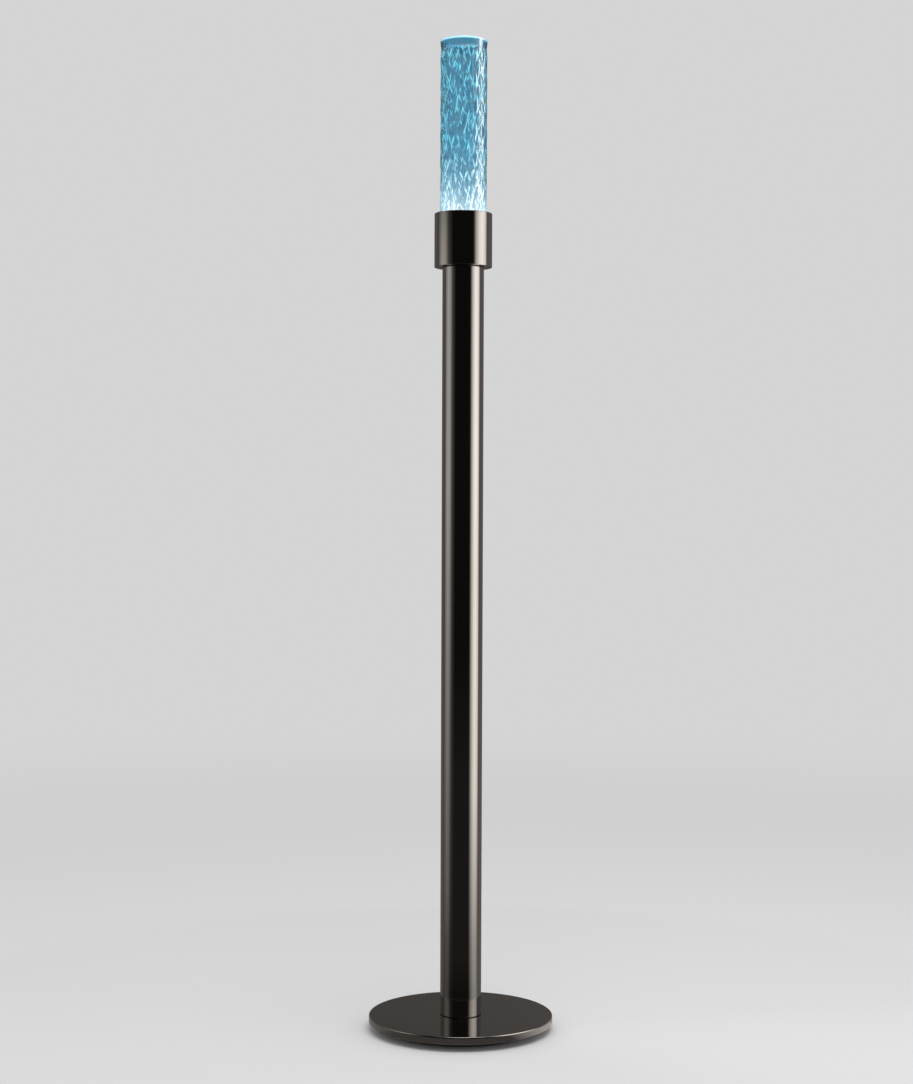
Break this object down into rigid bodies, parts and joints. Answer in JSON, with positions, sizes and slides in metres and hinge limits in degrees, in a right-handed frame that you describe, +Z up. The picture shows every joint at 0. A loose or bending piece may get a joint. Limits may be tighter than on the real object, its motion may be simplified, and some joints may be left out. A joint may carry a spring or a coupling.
{
  "type": "floor lamp",
  "caption": "Slim floor lamp: round disc base, plain polished post, and a cup with an LED that lights an open cylinder of diamond-relief blown glass.",
  "frame": {"origin": "on the floor, under the centre of the foot", "axes": "+Z up along the post, +Y to the back, out of the cord inlet"},
  "size_m": [0.3, 0.3, 1.5991],
  "materials": {
    "dark_nickel": "polished dark nickel plate",
    "cast_iron": "black paint on cast iron",
    "pad_rubber": "matt",
    "black_rubber": "matt",
    "black_nylon": "matt",
    "zinc_steel": "zinc plated",
    "blackened_steel": "blackened",
    "blackened_aluminium": "black anodised",
    "galvanised_sheet": "galvanised",
    "driver_plastic": "fine texture",
    "block_plastic": "satin",
    "brass": "bright",
    "wire_insulation": "satin",
    "lead_insulation": "satin",
    "cast_aluminium": "bead blasted",
    "thermal_silicone": "matt",
    "board_white": "white solder mask",
    "phosphor": "silicone gel",
    "connector_plastic": "satin",
    "spun_aluminium": "bright spun",
    "frosted_glass": "sandblasted underneath",
    "black_silicone": "matt",
    "clear_silicone": "satin",
    "aqua_glass": "mould-blown, tall diamond relief"
  },
  "bodies": {
    "stand": {"base_disc": "dark_nickel", "post_tube": "dark_nickel", "head_cup": "dark_nickel", "ballast_plate": "cast_iron", "floor_pad": "pad_rubber", "inlet_bush": "black_rubber", "lead_bush": "black_rubber", "cord_sleeve": "black_nylon", "ballast_screws": "zinc_steel", "post_screws": "zinc_steel", "post_washers": "zinc_steel", "tray_screws": "zinc_steel", "driver_screws": "zinc_steel", "cup_screws": "zinc_steel", "led_screws": "zinc_steel", "earth_screw": "zinc_steel", "bottom_plug": "blackened_steel", "top_plug": "blackened_aluminium", "socket_ring": "blackened_aluminium", "gear_tray": "galvanised_sheet", "driver_case": "driver_plastic", "driver_covers": "driver_plastic", "terminal_block": "block_plastic", "terminal_screws": "brass", "earth_tag": "brass", "supply_wires": "wire_insulation", "dc_lead": "lead_insulation", "heat_sink": "cast_aluminium", "thermal_pad": "thermal_silicone", "led_board": "board_white", "led_emitter": "phosphor", "led_connector": "connector_plastic", "reflector": "spun_aluminium", "diffuser": "frosted_glass", "diffuser_gasket": "black_silicone", "centring_ring": "black_silicone", "glass_seat": "clear_silicone"},
    "glass": {"glass_tube": "aqua_glass"}
  },
  "joints": [
    {"name": "glass_lift", "type": "slide", "parent": "stand", "child": "glass", "axis": [0, 0, 1], "range_m": [0, 0.06]}
  ]
}
